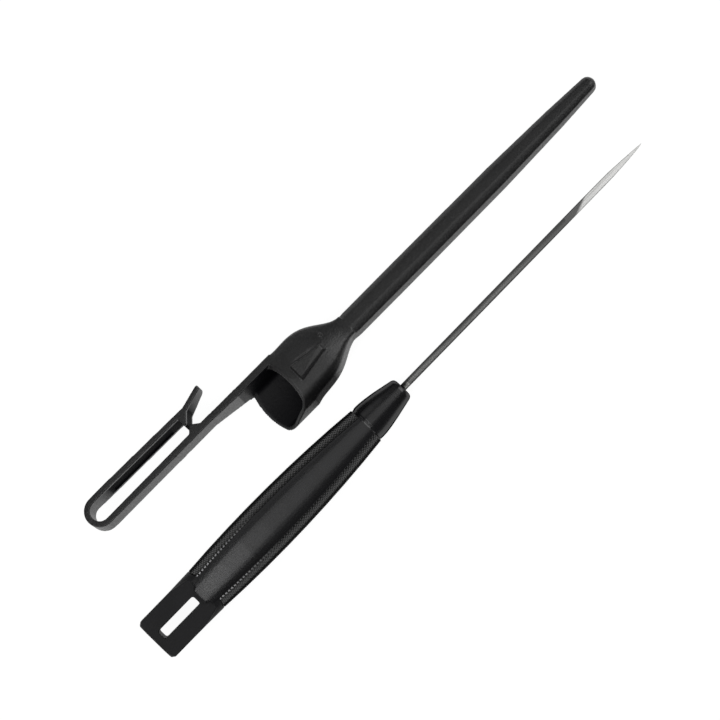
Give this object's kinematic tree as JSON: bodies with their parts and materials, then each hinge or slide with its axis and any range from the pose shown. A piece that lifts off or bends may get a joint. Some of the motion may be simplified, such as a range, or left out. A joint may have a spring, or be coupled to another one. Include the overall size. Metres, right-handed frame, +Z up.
{
  "type": "scratch awl with belt sheath",
  "caption": "Scratch awl with a waisted two-material grip and a round-ground square blade, beside its taken-off sheath with a slanted mouth and a sprung belt clip.",
  "frame": {"origin": "middle of the pair on the surface that it lies on", "axes": "+X along both pieces, towards the awl's point and the sheath's tip; +Y from the awl to the sheath; +Z up"},
  "size_m": [0.2416, 0.0608, 0.02],
  "materials": {
    "sheath_plastic": "black moulded plastic, fine spark-eroded texture",
    "handle_plastic": "smooth black moulded plastic, satin",
    "grip_rubber": "black rubber moulded with a fine knurl",
    "blade_steel": "satin steel bar, brighter where the point is ground"
  },
  "bodies": {
    "sheath": {"sheath_body": "sheath_plastic"},
    "clip": {"clip_arm": "sheath_plastic"},
    "awl": {"awl_blade": "blade_steel", "handle_core": "handle_plastic", "grip_panel_left": "grip_rubber", "grip_panel_right": "grip_rubber"}
  },
  "joints": [
    {"name": "clip_flex", "type": "hinge", "parent": "sheath", "child": "clip", "pos_m": [-0.10794, 0.02254, 0.00932], "axis": [0.0488, 0.292, 0.9552], "range_deg": [0, 7], "stiffness_Nm_per_rad": 1.5},
    {"name": "awl_lift", "type": "slide", "parent": "sheath", "child": "awl", "axis": [0, 0, 1], "range_m": [0, 0.1]}
  ]
}
